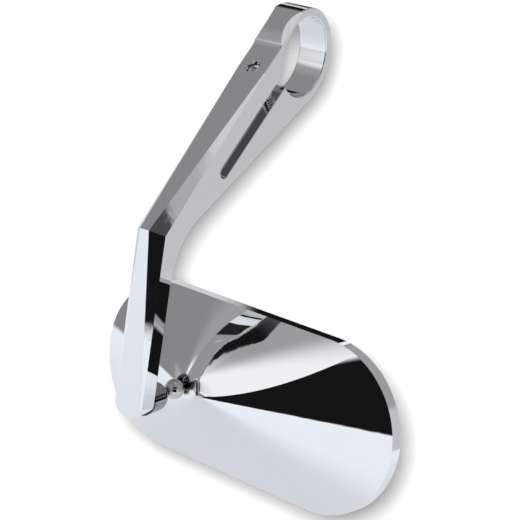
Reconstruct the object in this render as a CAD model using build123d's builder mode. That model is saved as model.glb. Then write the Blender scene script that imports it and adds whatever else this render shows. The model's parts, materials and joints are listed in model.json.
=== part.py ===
"""Bar end mirror: a one-piece clamp arm, a ball stud and an obround mirror head.

Millimetres. The origin is the centre of the bar clamp, +Y runs along the handlebar,
+Z is up and +X is the way the mirror glass faces.
"""
import os
from math import cos, radians, sin, sqrt

from build123d import *

# Bar clamp and arm
bore_r = 11.1
ring_r = 13.6
arm_w = 8.8
outer_off = 11.4
inner_taper = 0.25
ring_blend_r = 4.0
knee_in_r = 17.5
lower_in_x = -49.6
lower_face_x = -55.0
foot_z = -93.9
facet_start = 12.0
facet_depth = 3.35
facet_drop = 1.2
facet_flat = 1.4
slit_w = 4.1
slit_end = 44.9
edge_r = 0.35

# Clamp screw with a socket head, sunk in the arm's inner edge
screw_along = 15.1
screw_r = 2.0
screw_clearance = 0.15
screw_head_r = 3.5
screw_head_h = 4.0
screw_seat = 5.0
screw_recess = 0.8
screw_tip = 0.4
hex_across = 3.0
hex_depth = 2.0
head_clearance = 0.2

# Ball stud with its domed lock collar
stud_z = -90.5
stud_r = 2.0
stud_depth = 3.8
collar_r = 4.1
collar_l = 6.9
bulb_r = 2.7
bulb_x = -38.2
neck_r = 1.2
ball_x = -25.3
ball_r = 2.6

# Ball seat inside the head
joint_gap = 0.2
seat_t = 0.5
seat_ring_low = -2.0
seat_ring_high = -0.5
seat_cup_low = 0.75

# Mirror head, measured from the ball along the glass normal
head_yaw = 7.6
head_roll = 1.5
head_l = 103.5
head_h = 48.2
head_u = 10.36
head_v = 1.8
rim_back = 8.2
rim_t = 3.8
cone_h = 13.3
wall = 1.5
ledge = 3.0
tip_hole_r = 2.4
boss_wall = 1.7

# Retainer that presses the ball seat
plug_clearance = 0.1
plug_low = 1.8
plug_t = 0.8
spring_t = 0.35
spring_rise = 0.25
spring_in_r = 1.7
plate_r = 11.6
plate_t = 1.0
post_r = 2.2
post_ring_r = 9.2
plate_screw_r = 0.8
plate_screw_head_r = 1.5
plate_screw_l = 5.0
plate_screws = 3

# Glass, bent to a large sphere, on its carrier frame
glass_crown_r = 1200.0
glass_crown = 12.3
glass_t = 1.8
pad_t = 0.6
seal_t = 0.7
seal_h = 2.4
frame_w = 8.0

half_w = arm_w / 2
diag = 1 / sqrt(2)


def arm_point(along, off):
    """A point of the arm's plane, by its distances along and across the clamp slit."""
    return (diag * (off - along), -diag * (off + along))


def facet_plane(points, hand):
    """The plane through three points, mirrored to one side of the arm, that faces the arm's core."""
    a, b, c = (Vector(x, y * hand, z) for x, y, z in points)
    normal = (b - a).cross(c - a)
    core = Vector(lower_in_x, 0, knee_z) - a
    return Plane(origin=a, z_dir=normal if normal.dot(core) > 0 else normal * -1)


# Places that follow from the sizes above
knee_x = lower_face_x - facet_depth
knee_z = knee_x + outer_off / diag
inner_off = ring_r * sqrt(1 + inner_taper**2)
upper_in = arm_point(inner_taper * ring_r, inner_off - inner_taper**2 * ring_r)
knee_in_along = (inner_off - lower_in_x / diag) / (1 + inner_taper)
knee_in = arm_point(knee_in_along, inner_off - inner_taper * knee_in_along)
ring_joint = arm_point(sqrt(ring_r**2 - outer_off**2), -outer_off)
screw_end = screw_recess - outer_off
stud_end_x = lower_in_x - stud_depth
collar_x = lower_in_x + collar_l
seat_in_r = ball_r + joint_gap
seat_out_r = seat_in_r + seat_t
socket_r = seat_out_r + joint_gap
apex = rim_back - cone_h
boss_r = socket_r + boss_wall
plug_r = socket_r - plug_clearance
plug_top = socket_r + plug_t
post_top = plug_top + spring_t + spring_rise
plate_top = post_top + plate_t
pad_crown = glass_crown - glass_t
frame_crown = pad_crown - pad_t
rim_front = rim_back + rim_t
tip_scale = tip_hole_r / head_l

# Axes of the head, the stud and the clamp screw
yaw = radians(head_yaw)
roll = radians(head_roll)
HEAD = Plane(
    origin=(ball_x, 0, stud_z),
    x_dir=(-sin(yaw) * cos(roll), -cos(yaw) * cos(roll), sin(roll)),
    z_dir=(cos(yaw), -sin(yaw), 0),
)
HEAD_AXIS = Axis(HEAD.origin, HEAD.z_dir)
HEAD_SECTION = Plane(origin=HEAD.origin, x_dir=HEAD.x_dir, z_dir=HEAD.y_dir * -1)
STUD_AXIS = Axis((0, 0, stud_z), (1, 0, 0))
STUD_SECTION = Plane(origin=(0, 0, stud_z), x_dir=(1, 0, 0), z_dir=(0, -1, 0))
SCREW = Plane(
    origin=(-diag * screw_along, 0, -diag * screw_along),
    x_dir=(0, 1, 0),
    z_dir=(diag, 0, -diag),
)


def head_outline(inset, mode=Mode.ADD):
    """The head's obround outline, smaller all round by the inset."""
    with Locations((head_u, head_v)):
        SlotOverall(head_l - 2 * inset, head_h - 2 * inset, mode=mode)


def cone_sections(inset, height):
    """The outline at the rim and a small copy near the tip of a cone, which is on the ball's axis."""
    with BuildSketch(HEAD.offset(rim_back)) as base:
        head_outline(inset)
    with BuildSketch(HEAD.offset(rim_back - height * (1 - tip_scale))) as tip:
        with Locations((head_u * tip_scale, head_v * tip_scale)):
            SlotOverall((head_l - 2 * inset) * tip_scale, (head_h - 2 * inset) * tip_scale)
    return [base.sketch, tip.sketch]


def crown_sphere(crown):
    """The place of the sphere that a layer of the glass is bent to, where its middle is at the crown."""
    return HEAD.location * Location((head_u, head_v, crown - glass_crown_r), (90, 0, 0))


os.makedirs("parts", exist_ok=True)

# Arm: clamp ring, slit, upper arm, knee and lower arm in one piece
with BuildPart() as clamp_arm:
    with BuildSketch(Plane.XZ) as profile:
        with BuildLine():
            Polyline(
                ring_joint,
                (knee_x, knee_z),
                (lower_face_x, foot_z),
                (lower_in_x, foot_z),
                knee_in,
                upper_in,
                (0, 0),
                close=True,
            )
        make_face()
        Circle(ring_r)
        fillet(profile.vertices().sort_by_distance((*knee_in, 0))[0], knee_in_r)
        fillet(profile.vertices().sort_by_distance((*ring_joint, 0))[0], ring_blend_r)
        Circle(bore_r, mode=Mode.SUBTRACT)
        with Locations(Location((*arm_point(slit_end / 2, -slit_w / 2), 0), 45)):
            SlotOverall(slit_end, slit_w, mode=Mode.SUBTRACT)
    extrude(amount=half_w, both=True)
    fillet(clamp_arm.faces().filter_by(Plane.XZ).edges(), edge_r)
    with BuildSketch(Plane.YZ):
        with Locations((0, foot_z + half_w)):
            Circle(half_w)
            Rectangle(arm_w, ring_r - foot_z - half_w, align=(Align.CENTER, Align.MIN))
    extrude(amount=-knee_x + ring_r, both=True, mode=Mode.INTERSECT)
    start = arm_point(facet_start, -outer_off)
    ridge = (knee_x, facet_flat, knee_z)
    edge = (lower_face_x, half_w, knee_z - facet_drop)
    top = (start[0], half_w, start[1])
    foot = (lower_face_x, half_w, foot_z + half_w)
    for hand in (-1, 1):
        split(bisect_by=facet_plane((top, ridge, edge), hand), keep=Keep.TOP)
        split(bisect_by=facet_plane((foot, ridge, edge), hand), keep=Keep.TOP)
    with BuildSketch(SCREW):
        Circle(screw_r + screw_clearance)
    extrude(amount=screw_seat, mode=Mode.SUBTRACT)
    with BuildSketch(SCREW.offset(screw_seat)):
        Circle(screw_head_r + head_clearance)
    extrude(amount=inner_off, mode=Mode.SUBTRACT)
    with BuildSketch(SCREW):
        Circle(screw_r)
    extrude(amount=-ring_r, mode=Mode.SUBTRACT)
    with BuildSketch(Plane.YZ.offset(stud_end_x)):
        with Locations((0, stud_z)):
            Circle(stud_r)
    extrude(amount=stud_depth, mode=Mode.SUBTRACT)
clamp_arm.part.label = "clamp_arm"
export_step(clamp_arm.part, "parts/clamp_arm.step")

# Clamp screw: it crosses the slit and ends just below the outer face
with BuildPart() as clamp_screw:
    with BuildSketch(SCREW.offset(screw_end)):
        Circle(screw_r)
    extrude(amount=screw_seat - screw_end)
    chamfer(clamp_screw.edges().sort_by(Axis(SCREW.origin, SCREW.z_dir))[0], screw_tip)
    with BuildSketch(SCREW.offset(screw_seat)):
        Circle(screw_head_r)
    extrude(amount=screw_head_h)
    with BuildSketch(SCREW.offset(screw_seat + screw_head_h)):
        RegularPolygon(hex_across / 2, 6, major_radius=False)
    extrude(amount=-hex_depth, mode=Mode.SUBTRACT)
clamp_screw.part.label = "clamp_screw"
export_step(clamp_screw.part, "parts/clamp_screw.step")

# Lock collar: a round nut with a domed end, tight against the arm
dome_x = collar_x - collar_r
with BuildPart() as lock_collar:
    with BuildSketch(STUD_SECTION):
        with BuildLine():
            mouth_x = dome_x + sqrt(collar_r**2 - stud_r**2)
            Polyline((mouth_x, stud_r), (lower_in_x, stud_r), (lower_in_x, collar_r), (dome_x, collar_r))
            RadiusArc((dome_x, collar_r), (mouth_x, stud_r), collar_r)
        make_face()
    revolve(axis=STUD_AXIS)
lock_collar.part.label = "lock_collar"
export_step(lock_collar.part, "parts/lock_collar.step")

# Ball stud: threaded shank, bulb, neck and ball turned from one bar
with BuildPart() as ball_stud:
    bulb_half = sqrt(bulb_r**2 - neck_r**2)
    ball_half = sqrt(ball_r**2 - neck_r**2)
    with BuildSketch(STUD_SECTION):
        with BuildLine():
            Polyline(
                (ball_x + ball_r, 0),
                (stud_end_x, 0),
                (stud_end_x, stud_r),
                (mouth_x, stud_r),
                (mouth_x, neck_r),
                (bulb_x - bulb_half, neck_r),
            )
            ThreePointArc((bulb_x - bulb_half, neck_r), (bulb_x, bulb_r), (bulb_x + bulb_half, neck_r))
            Line((bulb_x + bulb_half, neck_r), (ball_x - ball_half, neck_r))
            ThreePointArc((ball_x - ball_half, neck_r), (ball_x, ball_r), (ball_x + ball_r, 0))
        make_face()
    revolve(axis=STUD_AXIS)
ball_stud.part.label = "ball_stud"
export_step(ball_stud.part, "parts/ball_stud.step")

# Seat ring: the front half of the plastic ball seat
with BuildPart() as seat_ring:
    with BuildSketch(HEAD_SECTION):
        Circle(seat_out_r)
        Circle(seat_in_r, mode=Mode.SUBTRACT)
        with Locations((0, seat_ring_low)):
            Rectangle(
                seat_out_r, seat_ring_high - seat_ring_low, align=(Align.MIN, Align.MIN), mode=Mode.INTERSECT
            )
    revolve(axis=HEAD_AXIS)
seat_ring.part.label = "seat_ring"
export_step(seat_ring.part, "parts/seat_ring.step")

# Seat cup: the half of the ball seat behind the ball
with BuildPart() as seat_cup:
    with BuildSketch(HEAD_SECTION):
        Circle(seat_out_r)
        Circle(seat_in_r, mode=Mode.SUBTRACT)
        with Locations((0, seat_cup_low)):
            Rectangle(seat_out_r, seat_out_r, align=(Align.MIN, Align.MIN), mode=Mode.INTERSECT)
    revolve(axis=HEAD_AXIS)
seat_cup.part.label = "seat_cup"
export_step(seat_cup.part, "parts/seat_cup.step")

# Hollow of the shell, with the ball socket's boss and the retainer's posts left standing
with BuildPart() as shell_hollow:
    loft(cone_sections(ledge, cone_h * (1 - 2 * ledge / head_h)), ruled=True)
    with BuildSketch(HEAD.offset(apex)):
        Circle(boss_r)
    extrude(amount=plug_top - apex, mode=Mode.SUBTRACT)
    with BuildSketch(HEAD.offset(apex)):
        with PolarLocations(post_ring_r, plate_screws):
            Circle(post_r)
    extrude(amount=post_top - apex, mode=Mode.SUBTRACT)

# Shell: a cone-backed obround cup with a flat rim wall
with BuildPart() as head_shell:
    loft(cone_sections(0, cone_h), ruled=True)
    with BuildSketch(HEAD.offset(rim_back)):
        head_outline(0)
    extrude(amount=rim_t)
    fillet(head_shell.faces().sort_by(HEAD_AXIS)[-1].edges(), edge_r)
    add(shell_hollow.part, mode=Mode.SUBTRACT)
    with BuildSketch(HEAD.offset(rim_back)):
        head_outline(wall)
    extrude(amount=rim_t, mode=Mode.SUBTRACT)
    with Locations(HEAD.location):
        Sphere(socket_r, mode=Mode.SUBTRACT)
    with BuildSketch(HEAD):
        Circle(socket_r)
    extrude(amount=rim_front, mode=Mode.SUBTRACT)
    with BuildSketch(HEAD):
        Circle(tip_hole_r)
    extrude(amount=apex, mode=Mode.SUBTRACT)
    with BuildSketch(HEAD.offset(plate_top)):
        with PolarLocations(post_ring_r, plate_screws):
            Circle(plate_screw_r)
    extrude(amount=-plate_screw_l, mode=Mode.SUBTRACT)
head_shell.part.label = "head_shell"
export_step(head_shell.part, "parts/head_shell.step")

# Pressure plug: a cup that the spring pushes against the ball seat
with BuildPart() as pressure_plug:
    with BuildSketch(HEAD_SECTION):
        with Locations((0, plug_low)):
            Rectangle(plug_r, plug_top - plug_low, align=(Align.MIN, Align.MIN))
        Circle(socket_r, mode=Mode.SUBTRACT)
    revolve(axis=HEAD_AXIS)
pressure_plug.part.label = "pressure_plug"
export_step(pressure_plug.part, "parts/pressure_plug.step")

# Disc spring between the plug and the retainer plate
with BuildPart() as disc_spring:
    with BuildSketch(HEAD_SECTION):
        with BuildLine():
            Polyline(
                (spring_in_r, plug_top + spring_rise),
                (plug_r, plug_top),
                (plug_r, plug_top + spring_t),
                (spring_in_r, post_top),
                close=True,
            )
        make_face()
    revolve(axis=HEAD_AXIS)
disc_spring.part.label = "disc_spring"
export_step(disc_spring.part, "parts/disc_spring.step")

# Retainer plate, held on the shell's posts
with BuildPart() as retainer_plate:
    with BuildSketch(HEAD.offset(post_top)):
        Circle(plate_r)
    extrude(amount=plate_t)
    with Locations(HEAD.offset(plate_top).location):
        with PolarLocations(post_ring_r, plate_screws):
            CounterSinkHole(plate_screw_r, plate_screw_head_r, depth=plate_t)
retainer_plate.part.label = "retainer_plate"
export_step(retainer_plate.part, "parts/retainer_plate.step")

# Countersunk screws of the retainer plate
with BuildPart() as retainer_screws:
    with BuildSketch(HEAD.offset(plate_top)):
        with PolarLocations(post_ring_r, plate_screws):
            Circle(plate_screw_r)
    extrude(amount=-plate_screw_l)
    head_rise = plate_screw_head_r - plate_screw_r
    with Locations(HEAD.offset(plate_top).location):
        with PolarLocations(post_ring_r, plate_screws):
            Cone(plate_screw_r, plate_screw_head_r, head_rise, align=(Align.CENTER, Align.CENTER, Align.MAX))
retainer_screws.part.label = "retainer_screws"
export_step(retainer_screws.part, "parts/retainer_screws.step")

# Carrier frame that the glass is bonded to
with BuildPart() as glass_carrier:
    with BuildSketch(HEAD.offset(rim_back)):
        head_outline(wall)
        head_outline(wall + frame_w, Mode.SUBTRACT)
    extrude(amount=rim_t)
    with Locations(crown_sphere(frame_crown)):
        Sphere(glass_crown_r, mode=Mode.INTERSECT)
glass_carrier.part.label = "glass_carrier"
export_step(glass_carrier.part, "parts/glass_carrier.step")

# Adhesive pad between the carrier and the glass
with BuildPart() as glass_pad:
    with BuildSketch(HEAD.offset(rim_back)):
        head_outline(wall + seal_t)
        head_outline(wall + frame_w, Mode.SUBTRACT)
    extrude(amount=rim_t)
    with Locations(crown_sphere(pad_crown)):
        Sphere(glass_crown_r, mode=Mode.INTERSECT)
    with Locations(crown_sphere(frame_crown)):
        Sphere(glass_crown_r, mode=Mode.SUBTRACT)
glass_pad.part.label = "glass_pad"
export_step(glass_pad.part, "parts/glass_pad.step")

# Mirror glass, slightly convex
with BuildPart() as mirror_glass:
    with BuildSketch(HEAD.offset(rim_back)):
        head_outline(wall + seal_t)
    extrude(amount=2 * rim_t)
    with Locations(crown_sphere(glass_crown)):
        Sphere(glass_crown_r, mode=Mode.INTERSECT)
    with Locations(crown_sphere(pad_crown)):
        Sphere(glass_crown_r, mode=Mode.SUBTRACT)
mirror_glass.part.label = "mirror_glass"
export_step(mirror_glass.part, "parts/mirror_glass.step")

# Seal in the groove between the glass edge and the rim
with BuildPart() as glass_seal:
    with BuildSketch(HEAD.offset(rim_front)):
        head_outline(wall)
        head_outline(wall + seal_t, Mode.SUBTRACT)
    extrude(amount=-seal_h)
    with Locations(crown_sphere(frame_crown)):
        Sphere(glass_crown_r, mode=Mode.SUBTRACT)
glass_seal.part.label = "glass_seal"
export_step(glass_seal.part, "parts/glass_seal.step")
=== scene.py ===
"""Finishes, turned pieces and studio of the bar end mirror.

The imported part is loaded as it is. Every node gets its finish. The clamp screw with its thread, the ball stud and its
collar are modelled in place of their nodes, and a studio and a camera are set round the part.
"""

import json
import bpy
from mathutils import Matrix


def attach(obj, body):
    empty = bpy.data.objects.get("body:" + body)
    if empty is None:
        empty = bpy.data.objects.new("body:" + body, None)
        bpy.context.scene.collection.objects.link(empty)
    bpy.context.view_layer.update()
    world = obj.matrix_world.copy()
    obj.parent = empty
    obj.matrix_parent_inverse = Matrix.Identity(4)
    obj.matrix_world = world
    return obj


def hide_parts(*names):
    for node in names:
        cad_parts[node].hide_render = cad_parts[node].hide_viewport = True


bl_info = {
    "name": "Bar end mirror",
    "version": (1, 0, 0),
    "blender": (4, 5, 0),
    "location": "View3D > Sidebar > Bar end mirror",
    "description": "Finishes, turned pieces and studio of a bar end mirror",
    "category": "Object",
}

from math import asin, cos, degrees, pi, radians, sin

import bpy
from bpy.props import FloatProperty, FloatVectorProperty, PointerProperty
from mathutils import Matrix, Vector

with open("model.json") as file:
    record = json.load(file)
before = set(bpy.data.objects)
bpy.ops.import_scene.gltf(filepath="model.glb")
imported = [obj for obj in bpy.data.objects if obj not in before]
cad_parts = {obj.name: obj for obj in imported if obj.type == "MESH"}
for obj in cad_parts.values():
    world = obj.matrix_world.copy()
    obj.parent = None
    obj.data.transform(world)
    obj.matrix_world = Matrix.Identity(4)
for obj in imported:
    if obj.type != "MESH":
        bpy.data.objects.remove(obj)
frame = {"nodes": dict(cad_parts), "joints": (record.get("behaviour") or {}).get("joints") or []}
NODES = frame["nodes"]
JOINTS = {joint["name"]: joint for joint in frame["joints"]}
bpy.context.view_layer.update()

MM = 1000  # millimetres in a metre
DIAGONAL = 0.7071  # sine and cosine of 45 degrees
TINY = 0.001  # keeps a division away from zero

# Slopes of the shell, fitted to what its plating mirrors. A pair holds the slope away from the tip and the one at it.
STRIP_LEAN, STRIP_RISE = (0.28, 0.52), (0.42, 0.36)
BAND_RISE, OUTER_RISE = (0.72, 0.4), 0.66
CAP_LEAN, CAP_RISE = 0.15, -0.05
CONE_DROP, TIP_LEAN = 0.02, 0.4
WEDGE_SLOPE, WEDGE_BEND = 0.32, 0.0072
BAND_LEAN, BAND_FALL, BAND_BEND, BAND_STEEP = 0.455, 0.0235, 0.00026, 0.2
SIDE_FALL, OUTER_FALL, LEAST_BAND = 0.0095, 0.03, 0.04

# Tones of the room that the plating mirrors
BLACK, DULL_SKY, LEFT_SKY, GLOW, LINE = 0.008, 0.27, 0.37, 1.0, 0.95
SIDE_TONES = (0.07, 0.45, 0.68)


class Shade:
    """A socket of a node tree. Arithmetic on it adds Math nodes."""

    def __init__(self, tree, socket=None):
        self.tree = tree
        self.socket = socket

    def node(self, kind, settings=None, sockets=None, output=0):
        """A new node of that type, with its settings and its sockets' values or links."""
        made = self.tree.nodes.new(kind)
        for name, value in (settings or {}).items():
            if name == "stops":
                ramp = made.color_ramp.elements
                while len(ramp) < len(value):
                    ramp.new(0.5)
                for element, (place, tone) in zip(ramp, value):
                    element.position = place
                    element.color = (*tone, 1) if isinstance(tone, tuple) else (tone, tone, tone, 1)
            else:
                setattr(made, name, value)
        for name, value in (sockets or {}).items():
            if isinstance(value, Shade):
                self.tree.links.new(value.socket, made.inputs[name])
            else:
                made.inputs[name].default_value = value
        return Shade(self.tree, made.outputs[output]) if len(made.outputs) else made

    def out(self, name):
        """Another output of this socket's node."""
        return Shade(self.tree, self.socket.node.outputs[name])

    def math(self, operation, *values):
        return self.node("ShaderNodeMath", {"operation": operation}, dict(enumerate(values)))

    def __add__(self, other):
        return self.math("ADD", self, other)

    __radd__ = __add__

    def __sub__(self, other):
        return self.math("SUBTRACT", self, other)

    def __rsub__(self, other):
        return self.math("SUBTRACT", other, self)

    def __mul__(self, other):
        return self.math("MULTIPLY", self, other)

    __rmul__ = __mul__

    def __truediv__(self, other):
        return self.math("DIVIDE", self, other)

    def __rtruediv__(self, other):
        return self.math("DIVIDE", other, self)

    def step(self, start, end):
        """0 below the start, 1 above the end and a smooth rise between them."""
        return self.node(
            "ShaderNodeMapRange",
            {"interpolation_type": "SMOOTHSTEP"},
            {"Value": self, "From Min": start, "From Max": end},
        )

    def within(self, start, full, fade, end):
        """0 outside start and end, 1 from full to fade."""
        return self.step(start, full) * (1 - self.step(fade, end))

    def blend(self, low, high):
        """From low where this is 0 to high where it is 1."""
        return low + self * (high - low)


def new_tree(block):
    """The emptied node tree of a material or a world."""
    block.use_nodes = True
    block.node_tree.nodes.clear()
    return Shade(block.node_tree)


def noise(tree, place, scale, detail=2.0):
    """Noise of that many waves to a metre, around 0.5."""
    return tree.node("ShaderNodeTexNoise", None, {"Vector": place, "Scale": scale, "Detail": detail})


def finish(name, make):
    """A material whose Principled sockets come from make(tree, Object coordinates)."""
    material = bpy.data.materials.new(name)
    tree = new_tree(material)
    place = tree.node("ShaderNodeTexCoord").out("Object")
    surface = tree.node("ShaderNodeBsdfPrincipled", None, make(tree, place))
    tree.node("ShaderNodeOutputMaterial", None, {"Surface": surface})
    return material


def tint(tree, factor, low, high):
    """A colour between two others."""
    ends = [colour if isinstance(colour, Shade) else (*colour, 1) for colour in (low, high)]
    # A Mix node's colours are its sockets 6 and 7 and its output 2
    return tree.node(
        "ShaderNodeMix", {"data_type": "RGBA", "clamp_factor": True}, {0: factor, 6: ends[0], 7: ends[1]}, output=2
    )


def relief(tree, height, distance, **under):
    """A normal that follows a height, at its depth in metres."""
    return tree.node("ShaderNodeBump", None, {"Height": height, "Distance": distance, **under})


def along(tree, vector, axis):
    """How far a vector reaches along an axis."""
    return tree.node("ShaderNodeVectorMath", {"operation": "DOT_PRODUCT"}, {0: vector, 1: axis}).out("Value")


def shaded(colour, share):
    """A colour made darker, or lighter with a share over 1."""
    return [c * share for c in colour]


def dress(material, *names):
    """Gives CAD nodes a material."""
    for name in names:
        NODES[name].data.materials.clear()
        NODES[name].data.materials.append(material)


def turned(name, stations, segments=64, ring=False):
    """A round piece along X, from pairs of place and radius in millimetres. A ring's last pair meets its first."""
    points = [(place / MM, radius / MM) for place, radius in stations]
    (place, radius), *rest = points
    bpy.ops.object.select_all(action="DESELECT")
    bpy.ops.mesh.primitive_circle_add(
        vertices=segments,
        radius=radius,
        fill_type="NOTHING" if ring else "NGON",
        location=(place, 0, 0),
        rotation=(0, pi / 2, 0),
    )
    made = bpy.context.object
    made.name = made.data.name = name
    bpy.ops.object.transform_apply(location=True, rotation=True, scale=True)
    bpy.ops.object.mode_set(mode="EDIT")
    bpy.ops.mesh.select_all(action="SELECT")
    for next_place, next_radius in rest:
        bpy.ops.mesh.extrude_region_move(TRANSFORM_OT_translate={"value": (next_place - place, 0, 0)})
        grow = next_radius / radius
        bpy.ops.transform.resize(value=(1, grow, grow), center_override=(next_place, 0, 0))
        place, radius = next_place, next_radius
    bpy.ops.mesh.select_all(action="SELECT")
    if ring:
        bpy.ops.mesh.remove_doubles(threshold=0.00001)
    bpy.ops.mesh.normals_make_consistent(inside=False)
    bpy.ops.object.mode_set(mode="OBJECT")
    return made


def arc(middle, radius, start, end, count):
    """Pairs of place and radius along a ball's outline, between two angles in degrees from the axis."""
    angles = [radians(start + (end - start) * i / count) for i in range(count + 1)]
    return [(middle + radius * cos(angle), radius * sin(angle)) for angle in angles]


def hex_socket(piece, place, across, depth):
    """Cuts a hexagon of a key's size into an end of a turned piece, in millimetres."""
    bpy.ops.object.select_all(action="DESELECT")
    bpy.ops.mesh.primitive_cylinder_add(
        vertices=6,
        radius=across / 2 / MM / cos(pi / 6),
        depth=2 * depth / MM,
        location=(place / MM, 0, 0),
        rotation=(0, pi / 2, 0),
    )
    cutter = bpy.context.object
    cut = piece.modifiers.new("socket", "BOOLEAN")
    cut.operation = "DIFFERENCE"
    cut.solver = "EXACT"
    cut.object = cutter
    bpy.context.view_layer.objects.active = piece
    bpy.ops.object.modifier_apply(modifier=cut.name)
    bpy.data.objects.remove(cutter)


def settle(piece, place, material, body, node):
    """Puts a finished piece in its place, dresses it, and lets it stand for a CAD node."""
    bpy.ops.object.select_all(action="DESELECT")
    piece.select_set(True)
    bpy.context.view_layer.objects.active = piece
    piece.matrix_world = place
    bpy.ops.object.transform_apply(location=True, rotation=True, scale=True)
    bpy.ops.object.shade_smooth_by_angle(angle=radians(35))
    piece.data.materials.append(material)
    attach(piece, body)
    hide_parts(node)


class MirrorFinishes(bpy.types.PropertyGroup):
    """Colours of the part's finishes."""

    chrome: FloatVectorProperty(
        name="Chrome", description="Colour of the plating", subtype="COLOR", default=(0.9, 0.91, 0.92)
    )
    steel: FloatVectorProperty(
        name="Steel", description="Colour of screws and spring", subtype="COLOR", default=(0.8, 0.81, 0.82)
    )
    nylon: FloatVectorProperty(
        name="Nylon", description="Colour of the ball seat", subtype="COLOR", default=(0.82, 0.8, 0.74)
    )
    plastic: FloatVectorProperty(
        name="Plastic", description="Colour of the glass carrier", subtype="COLOR", default=(0.03, 0.03, 0.03)
    )
    rubber: FloatVectorProperty(
        name="Rubber", description="Colour of the glass seal", subtype="COLOR", default=(0.02, 0.02, 0.02)
    )
    foam: FloatVectorProperty(
        name="Foam", description="Colour of the adhesive pad", subtype="COLOR", default=(0.1, 0.1, 0.1)
    )
    glass: FloatVectorProperty(
        name="Glass", description="Colour of the mirror", subtype="COLOR", default=(0.9, 0.92, 0.93)
    )


class MirrorShell(bpy.types.PropertyGroup):
    """Sizes of the head's shell, in millimetres from the ball along the glass."""

    length: FloatProperty(name="Length", description="Outline's length", default=103.5)
    height: FloatProperty(name="Height", description="Outline's height", default=48.2)
    middle: FloatVectorProperty(
        name="Middle", description="Outline's middle, right and up", size=2, default=(10.36, -1.8)
    )
    rim: FloatProperty(name="Rim", description="Back edge of the rim", default=8.2)
    depth: FloatProperty(name="Depth", description="Height of the cone behind the rim", default=13.3)
    tip: FloatVectorProperty(
        name="Tip", description="Where the cone's straight lines meet, right and up", size=2, default=(6.5, -1.7)
    )


class MirrorStud(bpy.types.PropertyGroup):
    """Sizes of the ball stud and its collar, in millimetres."""

    face: FloatProperty(name="Face", description="Place of the arm's face that the collar sits on", default=-49.6)
    collar_r: FloatProperty(name="Collar radius", description="Radius of the collar and its dome", default=4.1)
    dome: FloatProperty(name="Dome", description="Place of the dome's middle", default=-44.4)
    bulb: FloatProperty(name="Bulb", description="Place of the bulb's middle", default=-34.6)
    bulb_r: FloatProperty(name="Bulb radius", description="Radius of the bulb", default=2.75)
    ball_r: FloatProperty(name="Ball radius", description="Radius of the ball", default=2.6)
    neck_r: FloatProperty(name="Neck radius", description="Radius between bulb and ball", default=1.2)
    shank_r: FloatProperty(name="Shank radius", description="Radius of the stud in the arm", default=2.0)
    shank: FloatProperty(name="Shank", description="How deep the stud goes into the arm", default=3.8)


class MirrorScrew(bpy.types.PropertyGroup):
    """Sizes of the clamp screw, in millimetres."""

    along: FloatProperty(name="Along", description="Bar's middle to the screw, along the slit", default=15.1)
    radius: FloatProperty(name="Radius", description="Radius of the thread", default=1.98)
    pitch: FloatProperty(name="Pitch", description="Rise of the thread in a turn", default=0.9)
    end: FloatProperty(name="End", description="Place of the threaded end", default=-10.6)
    seat: FloatProperty(name="Seat", description="Place of the head's seat", default=5.0)
    head_r: FloatProperty(name="Head radius", description="Radius of the head", default=3.5)
    head_h: FloatProperty(name="Head height", description="Height of the head", default=4.0)
    key: FloatProperty(name="Key", description="Hexagon in the head, across its flats", default=3.0)
    end_key: FloatProperty(name="End key", description="Hexagon in the threaded end, across its flats", default=1.3)


class MirrorStudio(bpy.types.PropertyGroup):
    """Camera and light round the part."""

    azimuth: FloatProperty(
        name="Azimuth", description="Camera's turn round the part", subtype="ANGLE", default=radians(-59.21)
    )
    elevation: FloatProperty(
        name="Elevation", description="Camera's height angle", subtype="ANGLE", default=radians(15.08)
    )
    roll: FloatProperty(name="Roll", description="Camera's turn on its own axis", subtype="ANGLE", default=radians(8.7))
    distance: FloatProperty(
        name="Distance", description="Camera to the part", subtype="DISTANCE", unit="LENGTH", default=0.43685
    )
    aim: FloatVectorProperty(
        name="Aim",
        description="Picture's middle from the clamp's centre, right and up",
        size=2,
        subtype="TRANSLATION",
        unit="LENGTH",
        default=(-0.00867, -0.0564),
    )
    lens: FloatProperty(name="Lens", description="Focal length in millimetres", default=110.29)
    fill: FloatProperty(name="Fill", description="Level light from all round", default=0.75)
    key: FloatProperty(name="Key", description="Soft lamp from the side", unit="POWER", default=2.5)
    spot: FloatProperty(name="Spot", description="Lamp that throws the shadow", unit="POWER", default=15.0)
    shade: FloatVectorProperty(
        name="Shade",
        description="Spot's place from the camera, right and up",
        size=2,
        subtype="TRANSLATION",
        unit="LENGTH",
        default=(-0.0045, 0.006),
    )
    softness: FloatProperty(
        name="Softness", description="Spot's width", subtype="DISTANCE", unit="LENGTH", default=0.022
    )
    drop: FloatProperty(
        name="Floor", description="Height of the floor", subtype="DISTANCE", unit="LENGTH", default=-0.5
    )
    backdrop: FloatProperty(
        name="Backdrop", description="Part to backdrop", subtype="DISTANCE", unit="LENGTH", default=0.3
    )


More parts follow.
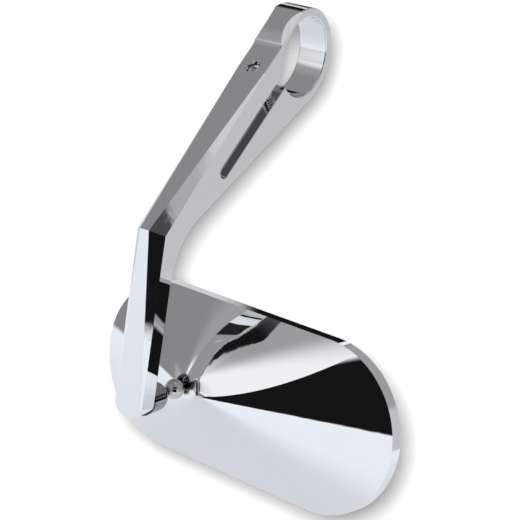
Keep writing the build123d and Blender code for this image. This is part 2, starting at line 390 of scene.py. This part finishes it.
def cone_slopes(tree, u, v, w, shell):
    """How much the cone leans right and up. Its straight lines run from the tip to the rim's outline."""
    radius = shell.height / 2
    straight = shell.length / 2 - radius
    past, above = u - shell.tip[0], v - shell.tip[1]

    # The share of the way to the rim: from the depth, or on the right end from where the line meets the round outline
    least_level, round_end = 0.04, 37
    level = tree.math("MAXIMUM", (w - shell.rim) / shell.depth + 1, least_level)
    end = Vector((shell.middle[0] + straight - shell.tip[0], shell.middle[1] - shell.tip[1]))
    ahead, size = past * end.x + above * end.y, past * past + above * above
    inside = ahead * ahead - size * (end.length_squared - radius * radius)
    end_level = size / (ahead + tree.math("SQRT", tree.math("MAXIMUM", inside, 0.0)) + TINY)
    off_axis = tree.math("ABSOLUTE", tree.math("ARCTAN2", above, past) * degrees(1))
    level = (1 - off_axis.step(round_end - 0.5, round_end + 0.5)).blend(level, end_level)

    # Outward from the outline's middle line, at that level
    side = u - (1 - level) * shell.tip[0]
    middle = tree.math("MINIMUM", tree.math("MAXIMUM", side / level - shell.middle[0], -straight), straight)
    middle = middle + shell.middle[0]
    out = side - middle * level
    over = v - (1 - level) * shell.tip[1] - level * shell.middle[1]
    spread = tree.math("SQRT", out * out + over * over) + TINY
    out, over = out / spread, over / spread
    slope = shell.depth / (radius + (middle - shell.tip[0]) * out + over * (shell.middle[1] - shell.tip[1]))
    return slope * out, slope * over - CONE_DROP


def polished_slopes(tree, u, v, lean, rise, shell):
    """The cone's slopes with the fitted ones of its upper side and its tip, and the distance from the ball's axis."""
    far = tree.math("SQRT", u * u + v * v)
    turn = tree.math("ARCTAN2", v, u) * degrees(1)
    past, above = u - shell.tip[0], v - shell.tip[1]
    near, nearer = (tree.math("EXPONENT", far / -fade) for fade in (18, 9))
    left = (v - u) * DIAGONAL

    # The upper side begins at a curved line over the right end's dark wedge
    edge = above - past * WEDGE_SLOPE - past * past * WEDGE_BEND
    upper = edge.step(-0.25, 0.25) * turn.within(-20, 0, 120, 165)
    lean = lean + nearer * TIP_LEAN * turn.step(-60, -30)

    # Left of the diagonal it mirrors the arm's side in a slow band, then the arm's outer face and the sky
    steep = left.step(3, 8).blend(near.blend(*BAND_RISE), OUTER_RISE)
    side_start, side_end = 0.3, 5
    band = BAND_LEAN - u * BAND_FALL + u * u * BAND_BEND + steep * BAND_STEEP
    band = band - tree.math("MINIMUM", left - side_start, side_end - side_start) * (1 - near) * SIDE_FALL
    band = band - tree.math("MAXIMUM", left - side_end, 0.0) * OUTER_FALL
    band = tree.math("MAXIMUM", band, LEAST_BAND) * (1 - turn.step(70, 110))

    # Right of the diagonal it mirrors the light beside the arm
    bend = turn.step(22, 44)
    lean = upper.blend(lean, bend.blend(near.blend(*STRIP_LEAN), band))
    rise = upper.blend(rise, bend.blend(near.blend(*STRIP_RISE), steep))
    cap = (1 - far.step(3.5, 6)) * (1 - bend)
    return cap.blend(lean, CAP_LEAN), cap.blend(rise, CAP_RISE), far


def shell_normal(tree, place, shell):
    """A normal for the shell's back, and the distance from the ball's axis in millimetres."""
    front = Vector(JOINTS["head_turn"]["axis"])
    up = Vector((0, 0, 1))
    right = front.cross(up)
    reach = tree.node("ShaderNodeVectorMath", {"operation": "SUBTRACT"}, {0: place, 1: JOINTS["head_turn"]["pos_m"]})
    u, v, w = (along(tree, reach, axis) * MM for axis in (right, up, front))
    lean, rise = cone_slopes(tree, u, v, w, shell)
    lean, rise, far = polished_slopes(tree, u, v, lean, rise, shell)

    # Rim, inside and tip hole keep the mesh's own normal
    own = tree.node("ShaderNodeTexCoord").out("Normal")
    back = (along(tree, own, front) * -1).step(0.55, 0.7) * far.step(2.2, 3.2)
    own = tree.node("ShaderNodeSeparateXYZ", None, {"Vector": own})
    bent = {
        axis: back.blend(own.out(axis), lean * right[i] + rise * up[i] - front[i]) for i, axis in enumerate("XYZ")
    }
    in_world = tree.node(
        "ShaderNodeVectorTransform",
        {"vector_type": "NORMAL", "convert_from": "OBJECT", "convert_to": "WORLD"},
        {"Vector": tree.node("ShaderNodeCombineXYZ", None, bent)},
    )
    return tree.node("ShaderNodeVectorMath", {"operation": "NORMALIZE"}, {0: in_world}), far


def plating(tree, place, colour, **under):
    """Bright plating, hardly uneven."""
    cloud = noise(tree, place, scale=90, detail=4)
    return {
        "Base Color": tint(tree, cloud, shaded(colour, 0.97), colour),
        "Metallic": 1.0,
        "Roughness": cloud.step(0.35, 0.7).blend(0.012, 0.03),
        "Normal": relief(tree, noise(tree, place, scale=160), distance=0.00001, **under),
    }


class MIRROR_OT_chrome(bpy.types.Operator):
    """Bright plating on the arm and the shell"""

    bl_idname = "bar_mirror.chrome"
    bl_label = "Chrome pieces"

    def execute(self, context):
        colour = context.scene.mirror_finishes.chrome

        def arm_plating(tree, place):
            half_width, round_end = 2.05, 42.85
            x = tree.node("ShaderNodeSeparateXYZ", None, {"Vector": place})
            z = x.out("Z")
            down = (x + z) * (-DIAGONAL * MM)
            across = (x - z) * (DIAGONAL * MM) + half_width
            beyond = tree.math("MAXIMUM", down - round_end, 0.0)
            reach = tree.math("SQRT", across * across + beyond * beyond)
            # Painted shade: the plating inside the slit gets a darker colour where shade falls between the jaws
            slit = (1 - reach.step(half_width + 0.01, half_width + 0.05)) * down.step(10, 11)
            made = plating(tree, place, colour)
            made["Base Color"] = tint(tree, slit, made["Base Color"], shaded(colour, 0.65))
            return made

        def shell_plating(tree, place):
            normal, far = shell_normal(tree, place, context.scene.mirror_shell)
            made = plating(tree, place, colour, Normal=normal)
            # Painted shade: the plating is made nearly black in and round the tip hole
            made["Base Color"] = tint(tree, far.step(2.4, 3.2), shaded(colour, 0.08), made["Base Color"])
            return made

        dress(finish("arm_chrome", arm_plating), "clamp_arm")
        dress(finish("spun_chrome", shell_plating), "head_shell")
        return {"FINISHED"}


class MIRROR_OT_stud(bpy.types.Operator):
    """Turned ball stud and the domed collar that locks it"""

    bl_idname = "bar_mirror.stud"
    bl_label = "Ball stud and collar"

    def execute(self, context):
        size = context.scene.mirror_stud
        colour = context.scene.mirror_finishes.chrome
        ball = Vector(JOINTS["head_turn"]["pos_m"])
        place = Matrix.Translation((0, ball.y, ball.z))
        waist = degrees(asin(size.neck_r / size.bulb_r))
        throat = degrees(asin(size.neck_r / size.ball_r))
        bore = degrees(asin(size.shank_r / size.collar_r))
        mouth = size.dome + size.collar_r * cos(radians(bore))
        foot = size.face - size.shank
        chamfer = 0.3

        def turned_plating(tree, place):
            x = along(tree, place, (1, 0, 0)) * MM
            # Painted shade in the grooves at the arm's face, the collar's mouth and the bulb's end
            painted_groove_shade = 0.0
            for middle, width in ((size.face, 1.6), (mouth + 1.2, 2.4), (size.bulb + size.bulb_r, 1.6)):
                painted_groove_shade = 1 - tree.math("ABSOLUTE", x - middle).step(width * 0.3, width) + painted_groove_shade
            made = plating(tree, place, colour)
            # Painted reflection: the collar and the stud get darker copies of the same chrome, which paint in the dark
            # things they mirror
            collar_painted_dark, stud_painted_dark, groove_shade_tone = (shaded(colour, share) for share in (0.42, 0.72, 0.06))
            bright = tint(tree, x.step(mouth, mouth + 0.2), collar_painted_dark, stud_painted_dark)
            made["Base Color"] = tint(tree, painted_groove_shade, bright, groove_shade_tone)
            return made

        chrome = finish("turned_chrome", turned_plating)
        dress(chrome, "lock_collar", "ball_stud")
        stud = turned(
            "turned_stud",
            [
                (foot, size.shank_r - chamfer),
                (foot + chamfer, size.shank_r),
                (mouth, size.shank_r),
                (mouth + 0.2, size.neck_r),
                *arc(size.bulb, size.bulb_r, 180 - waist, waist, count=24),
                *arc(ball.x * MM, size.ball_r, 180 - throat, 4, count=24),
            ],
        )
        settle(stud, place, chrome, "arm", "ball_stud")
        collar = turned(
            "domed_collar",
            [
                (mouth, size.shank_r),
                (size.face, size.shank_r),
                (size.face, size.collar_r - chamfer),
                (size.face + chamfer, size.collar_r),
                *arc(size.dome, size.collar_r, 90, bore, count=20),
            ],
            ring=True,
        )
        settle(collar, place, chrome, "arm", "lock_collar")
        return {"FINISHED"}


class MIRROR_OT_clamp_screw(bpy.types.Operator):
    """The screw that closes the clamp, with its thread and its sockets, and the finish of the small steel pieces"""

    bl_idname = "bar_mirror.clamp_screw"
    bl_label = "Clamp screw"

    def execute(self, context):
        colour = context.scene.mirror_finishes.steel

        def plate(tree, place):
            grain = noise(tree, place, scale=2500, detail=3)
            return {
                "Base Color": tint(tree, grain, shaded(colour, 0.85), colour),
                "Metallic": 1.0,
                "Roughness": grain.blend(0.06, 0.16),
                "Normal": relief(tree, grain, distance=0.00001),
            }

        zinc = finish("zinc_plate", plate)
        dress(zinc, "clamp_screw", "disc_spring", "retainer_plate", "retainer_screws")
        size = context.scene.mirror_screw
        core = size.radius - 0.5 * size.pitch
        top = size.seat + size.head_h
        # From the rounded end with the thread to the head's chamfer
        screw = turned(
            "threaded_clamp_screw",
            [
                (size.end, 0.4),
                (size.end + 0.06, 0.8),
                (size.end + 0.2, 1.3),
                (size.end + 0.45, 1.75),
                (size.end + 0.6, size.radius - 0.1),
                (size.end + 0.9, core),
                (size.seat, core),
                (size.seat, size.head_r - 0.2),
                (size.seat + 0.2, size.head_r),
                (top - 0.4, size.head_r),
                (top, size.head_r - 0.4),
            ],
        )
        hex_socket(screw, top, size.key, depth=2.0)
        hex_socket(screw, size.end, size.end_key, depth=0.8)

        bpy.ops.object.select_all(action="DESELECT")
        bpy.ops.mesh.primitive_circle_add(vertices=3, radius=0.001)
        thread = context.object
        half_tooth, root = 0.45 * size.pitch, core - 0.1
        start, run_out = size.end + 1.2, 0.6
        tooth = ((-half_tooth, root), (0, size.radius), (half_tooth, root))
        for point, (side, radius) in zip(thread.data.vertices, tooth):
            point.co = ((start + side) / MM, 0, radius / MM)
        wind = thread.modifiers.new("thread", "SCREW")
        wind.axis = "X"
        wind.steps = wind.render_steps = 32
        wind.screw_offset = size.pitch / MM
        wind.iterations = int((size.seat - start - run_out) / size.pitch)
        bpy.ops.object.modifier_apply(modifier=wind.name)
        bpy.ops.object.mode_set(mode="EDIT")
        bpy.ops.mesh.select_all(action="SELECT")
        bpy.ops.mesh.fill_holes(sides=3)
        bpy.ops.mesh.normals_make_consistent(inside=False)
        bpy.ops.object.mode_set(mode="OBJECT")
        screw.select_set(True)
        context.view_layer.objects.active = screw
        bpy.ops.object.join()
        slit = Vector((-1, 0, -1)).normalized() * size.along / MM
        settle(screw, Matrix.Translation(slit) @ Matrix.Rotation(pi / 4, 4, "Y"), zinc, "arm", "clamp_screw")
        return {"FINISHED"}


class MIRROR_OT_ball_seat(bpy.types.Operator):
    """Nylon seat and plug round the ball"""

    bl_idname = "bar_mirror.ball_seat"
    bl_label = "Ball seat"

    def execute(self, context):
        colour = context.scene.mirror_finishes.nylon

        def moulding(tree, place):
            cloud = noise(tree, place, scale=700, detail=3)
            return {
                "Base Color": tint(tree, cloud, shaded(colour, 0.92), colour),
                "Roughness": cloud.blend(0.35, 0.5),
                "Normal": relief(tree, noise(tree, place, scale=4000), distance=0.00001),
            }

        dress(finish("natural_nylon", moulding), "seat_ring", "seat_cup", "pressure_plug")
        return {"FINISHED"}


class MIRROR_OT_glass(bpy.types.Operator):
    """Carrier, adhesive pad, mirror glass and seal"""

    bl_idname = "bar_mirror.glass"
    bl_label = "Glass and its seal"

    def execute(self, context):
        colours = context.scene.mirror_finishes

        def carrier(tree, place):
            grain = noise(tree, place, scale=3000, detail=4)
            return {
                "Base Color": tint(tree, grain, shaded(colours.plastic, 0.7), shaded(colours.plastic, 1.3)),
                "Roughness": grain.blend(0.45, 0.65),
                "Normal": relief(tree, grain, distance=0.00004),
            }

        def pad(tree, place):
            cells = tree.node("ShaderNodeTexVoronoi", None, {"Vector": place, "Scale": 2600.0})
            return {
                "Base Color": tint(tree, cells, shaded(colours.foam, 0.6), shaded(colours.foam, 1.4)),
                "Roughness": 0.95,
                "Normal": relief(tree, cells, distance=0.0001),
            }

        def seal(tree, place):
            grain = noise(tree, place, scale=1500, detail=3)
            return {
                "Base Color": tint(tree, grain, shaded(colours.rubber, 0.7), shaded(colours.rubber, 1.6)),
                "Roughness": grain.blend(0.5, 0.75),
                "Normal": relief(tree, grain, distance=0.00003),
            }

        def mirror(tree, place):
            cloud = noise(tree, place, scale=60, detail=3)
            return {
                "Base Color": tint(tree, cloud, shaded(colours.glass, 0.98), colours.glass),
                "Metallic": 1.0,
                "Roughness": cloud.step(0.4, 0.8).blend(0.004, 0.02),
                "Coat Weight": 0.6,
                "Coat Roughness": 0.02,
            }

        dress(finish("moulded_carrier", carrier), "glass_carrier")
        dress(finish("foam_pad", pad), "glass_pad")
        dress(finish("rubber_seal", seal), "glass_seal")
        dress(finish("silvered_glass", mirror), "mirror_glass")
        return {"FINISHED"}


def camera_place(studio):
    """The camera's matrix, from its angles, its distance and its aim."""
    turn = (
        Matrix.Rotation(studio.azimuth, 4, "Z")
        @ Matrix.Rotation(pi / 2 - studio.elevation, 4, "X")
        @ Matrix.Rotation(studio.roll, 4, "Z")
    )
    return turn @ Matrix.Translation((studio.aim[0], studio.aim[1], studio.distance))


def mirrored_room(tree, turn, rise):
    """The tone of a pale room with a dark front, at a turn from its front and a rise from level, in degrees."""
    wall = tree.node(
        "ShaderNodeValToRGB",
        {
            "stops": [
                (0.0, 0.02), (0.03, 0.02), (0.034, 0.7), (0.19, 0.5), (0.22, 0.27), (0.3, 0.27), (0.335, 0.62),
                (0.36, 0.74), (0.368, 1.0), (0.632, 1.0), (0.64, 0.7), (0.69, 0.5), (0.845, 0.61), (0.862, 0.57),
                (0.872, 0.72), (0.92, 0.72), (0.95, 0.02),
            ]
        },
        {"Fac": turn / 360 + 0.5},
    )
    ground = tree.node(
        "ShaderNodeValToRGB",
        {"stops": [(0.0, 0.77), (0.33, 0.78), (0.5, 0.82), (0.62, 0.87), (0.75, 0.97)]},
        {"Fac": rise / 80 + 1},
    )

    # Wall, ground and a sky with a glow on the left
    glow = turn.within(-56, -50, 0, 4) * (1 - rise.step(22, 38))
    sky = glow.blend(turn.step(-75, -50).blend(DULL_SKY, LEFT_SKY), GLOW)
    strip = turn.within(-52, -49, 49, 52)
    room = rise.step(14, 19).blend(wall, sky)
    room = (rise.step(-17.5, -15.5) + strip * rise.step(-46, -22)).step(0.0, 1.0).blend(ground, room)

    # Dark front, in a low and a high part
    low = (turn + tree.math("MAXIMUM", rise, 0.0) * 0.42).step(-43.2, -42.2) * (1 - rise.step(14, 18))
    high = turn.step(-20, -17) * rise.within(20.5, 22.5, 40, 46)
    above_floor = (rise + turn * 0.037).step(-17.0, -16.2)
    dark = tree.math("MAXIMUM", low, high) * (1 - turn.step(42.5, 43.5)) * above_floor

    # Two dark flags at the back, with a light line between them
    rear = turn.step(-179, -178)
    lower_flag = rear * (1 - turn.step(-168.8, -168)) * rise.within(-5, 0, 22, 23)
    upper_flag = rear * (1 - turn.step(-145, -140)) * rise.within(27, 28, 38, 44)
    line = rear * (1 - turn.step(-150, -140)) * rise.within(22, 23, 27, 28)
    room = line.blend(room, LINE)
    dark = tree.math("MAXIMUM", dark, tree.math("MAXIMUM", lower_flag, upper_flag))
    room = dark.blend(room, BLACK)

    # Sky on the right, lighter away from the front
    dim, middle, light = SIDE_TONES
    side_sky = turn.within(52, 54, 78, 82) * rise.within(28, 31, 42, 46)
    return side_sky.blend(room, turn.step(61.5, 61.9).blend(dim, turn.step(63.2, 64.7).blend(middle, light)))


def studio_world(studio):
    """White for the camera, level light for the matt pieces, and a room of light and dark zones for the chrome."""
    world = bpy.data.worlds.new("studio_world")
    bpy.context.scene.world = world
    tree = new_tree(world)
    place = tree.node("ShaderNodeTexCoord").out("Generated")
    front = radians(200)
    x = tree.node("ShaderNodeSeparateXYZ", None, {"Vector": place})
    y, z = x.out("Y"), x.out("Z")
    turn = tree.math("ARCTAN2", y * cos(front) - x * sin(front), x * cos(front) + y * sin(front)) * degrees(1)
    rise = tree.math("ARCSINE", z) * degrees(1)
    room = mirrored_room(tree, turn, rise)
    ray = tree.node("ShaderNodeLightPath")
    mirrored = tree.math("MAXIMUM", ray.out("Is Glossy Ray"), ray.out("Is Transmission Ray"))
    blue = tint(tree, rise.step(-18, -14), (0.9, 0.945, 1.0), (0.96, 0.98, 1.0))
    cool = tint(tree, room, (0.0, 0.0, 0.0), blue)
    level = tint(tree, mirrored, [studio.fill] * 3, cool)
    shown = tint(tree, ray.out("Is Camera Ray"), level, (1.0, 1.0, 1.0))
    light = tree.node("ShaderNodeBackground", None, {"Color": shown, "Strength": 1.0})
    tree.node("ShaderNodeOutputWorld", None, {"Surface": light})


def paper(name, colour):
    """A matt sheet that is seen from its front only."""
    material = bpy.data.materials.new(name)
    tree = new_tree(material)
    place = tree.node("ShaderNodeTexCoord").out("Object")
    fibre = noise(tree, place, scale=900, detail=3)
    matt = {
        "Base Color": tint(tree, fibre, [colour * 0.99] * 3, [colour] * 3),
        "Roughness": 1.0,
        "Specular IOR Level": 0.0,
    }
    front = tree.node("ShaderNodeBsdfPrincipled", None, matt)
    behind = tree.node("ShaderNodeNewGeometry").out("Backfacing")
    seen = tree.node("ShaderNodeMixShader", None, {0: behind, 1: front, 2: tree.node("ShaderNodeBsdfTransparent")})
    tree.node("ShaderNodeOutputMaterial", None, {"Surface": seen})
    return material


def sheet(name, size, place, material):
    """A square sheet of the studio, left out of the chrome's reflections."""
    bpy.ops.mesh.primitive_plane_add(size=size)
    made = bpy.context.object
    made.name = name
    made.data.transform(place)
    made.data.materials.append(material)
    made.visible_glossy = False
    return made


def lamp(name, place, size, energy):
    """A round area lamp that the chrome doesn't show."""
    bpy.ops.object.light_add(type="AREA")
    made = bpy.context.object
    made.name = name
    made.matrix_world = place
    made.data.shape = "DISK"
    made.data.size = size
    made.data.energy = energy
    made.visible_glossy = False
    return made


class MIRROR_OT_stage(bpy.types.Operator):
    """Camera, world, backdrop, floor and lamps"""

    bl_idname = "bar_mirror.stage"
    bl_label = "Studio"

    def execute(self, context):
        scene = context.scene
        studio = scene.mirror_studio
        scene.view_settings.view_transform = "Standard"
        studio_world(studio)
        place = camera_place(studio)
        bpy.ops.object.camera_add()
        camera = context.object
        camera.matrix_world = place
        camera.data.sensor_width = 36
        camera.data.lens = studio.lens
        camera.data.clip_start = 0.01
        scene.camera = camera

        floor_size, card_size, key_size = 3, 0.5, 0.6
        sheet("floor", floor_size, Matrix.Translation((0, 0, studio.drop)), paper("floor_paper", colour=0.85))
        reach = studio.distance + studio.backdrop
        behind = place @ Matrix.Translation((0, 0, -reach))
        card = sheet("backdrop", card_size, behind, paper("backdrop_card", colour=0.34))
        card.visible_diffuse = card.visible_transmission = card.visible_shadow = False
        lit = bpy.data.collections.new("backdrop_only")
        lit.objects.link(card)
        spot = lamp("backdrop_lamp", place @ Matrix.Translation((*studio.shade, 0)), studio.softness, studio.spot)
        spot.light_linking.receiver_collection = lit
        key_turn, key_tilt, key_reach = radians(50), radians(40), 1
        side = Matrix.Rotation(studio.azimuth - key_turn, 4, "Z") @ Matrix.Rotation(key_tilt, 4, "X")
        lamp("key_lamp", side @ Matrix.Translation((0, 0, key_reach)), key_size, studio.key)
        return {"FINISHED"}


class MIRROR_PT_panel(bpy.types.Panel):
    """Steps and sizes of the bar end mirror"""

    bl_idname = "MIRROR_PT_panel"
    bl_label = "Bar end mirror"
    bl_space_type = "VIEW_3D"
    bl_region_type = "UI"
    bl_category = "Bar end mirror"

    def draw(self, context):
        for step in STEPS:
            self.layout.operator(step.bl_idname)
        for group_name in GROUPS:
            group = getattr(context.scene, group_name)
            for name in group.bl_rna.properties.keys():
                if name not in {"rna_type", "name"}:
                    self.layout.prop(group, name)


GROUPS = {
    "mirror_finishes": MirrorFinishes,
    "mirror_shell": MirrorShell,
    "mirror_stud": MirrorStud,
    "mirror_screw": MirrorScrew,
    "mirror_studio": MirrorStudio,
}
STEPS = (
    MIRROR_OT_chrome,
    MIRROR_OT_stud,
    MIRROR_OT_clamp_screw,
    MIRROR_OT_ball_seat,
    MIRROR_OT_glass,
    MIRROR_OT_stage,
)
CLASSES = (*GROUPS.values(), *STEPS, MIRROR_PT_panel)


def register():
    for item in CLASSES:
        bpy.utils.register_class(item)
    for name, group in GROUPS.items():
        setattr(bpy.types.Scene, name, PointerProperty(type=group))


def unregister():
    for name in GROUPS:
        delattr(bpy.types.Scene, name)
    for item in reversed(CLASSES):
        bpy.utils.unregister_class(item)


def main():
    register()
    bpy.ops.object.select_all(action="DESELECT")
    bpy.ops.bar_mirror.chrome()
    bpy.ops.bar_mirror.stud()
    bpy.ops.bar_mirror.clamp_screw()
    bpy.ops.bar_mirror.ball_seat()
    bpy.ops.bar_mirror.glass()
    bpy.ops.bar_mirror.stage()


if __name__ == "__main__":
    main()
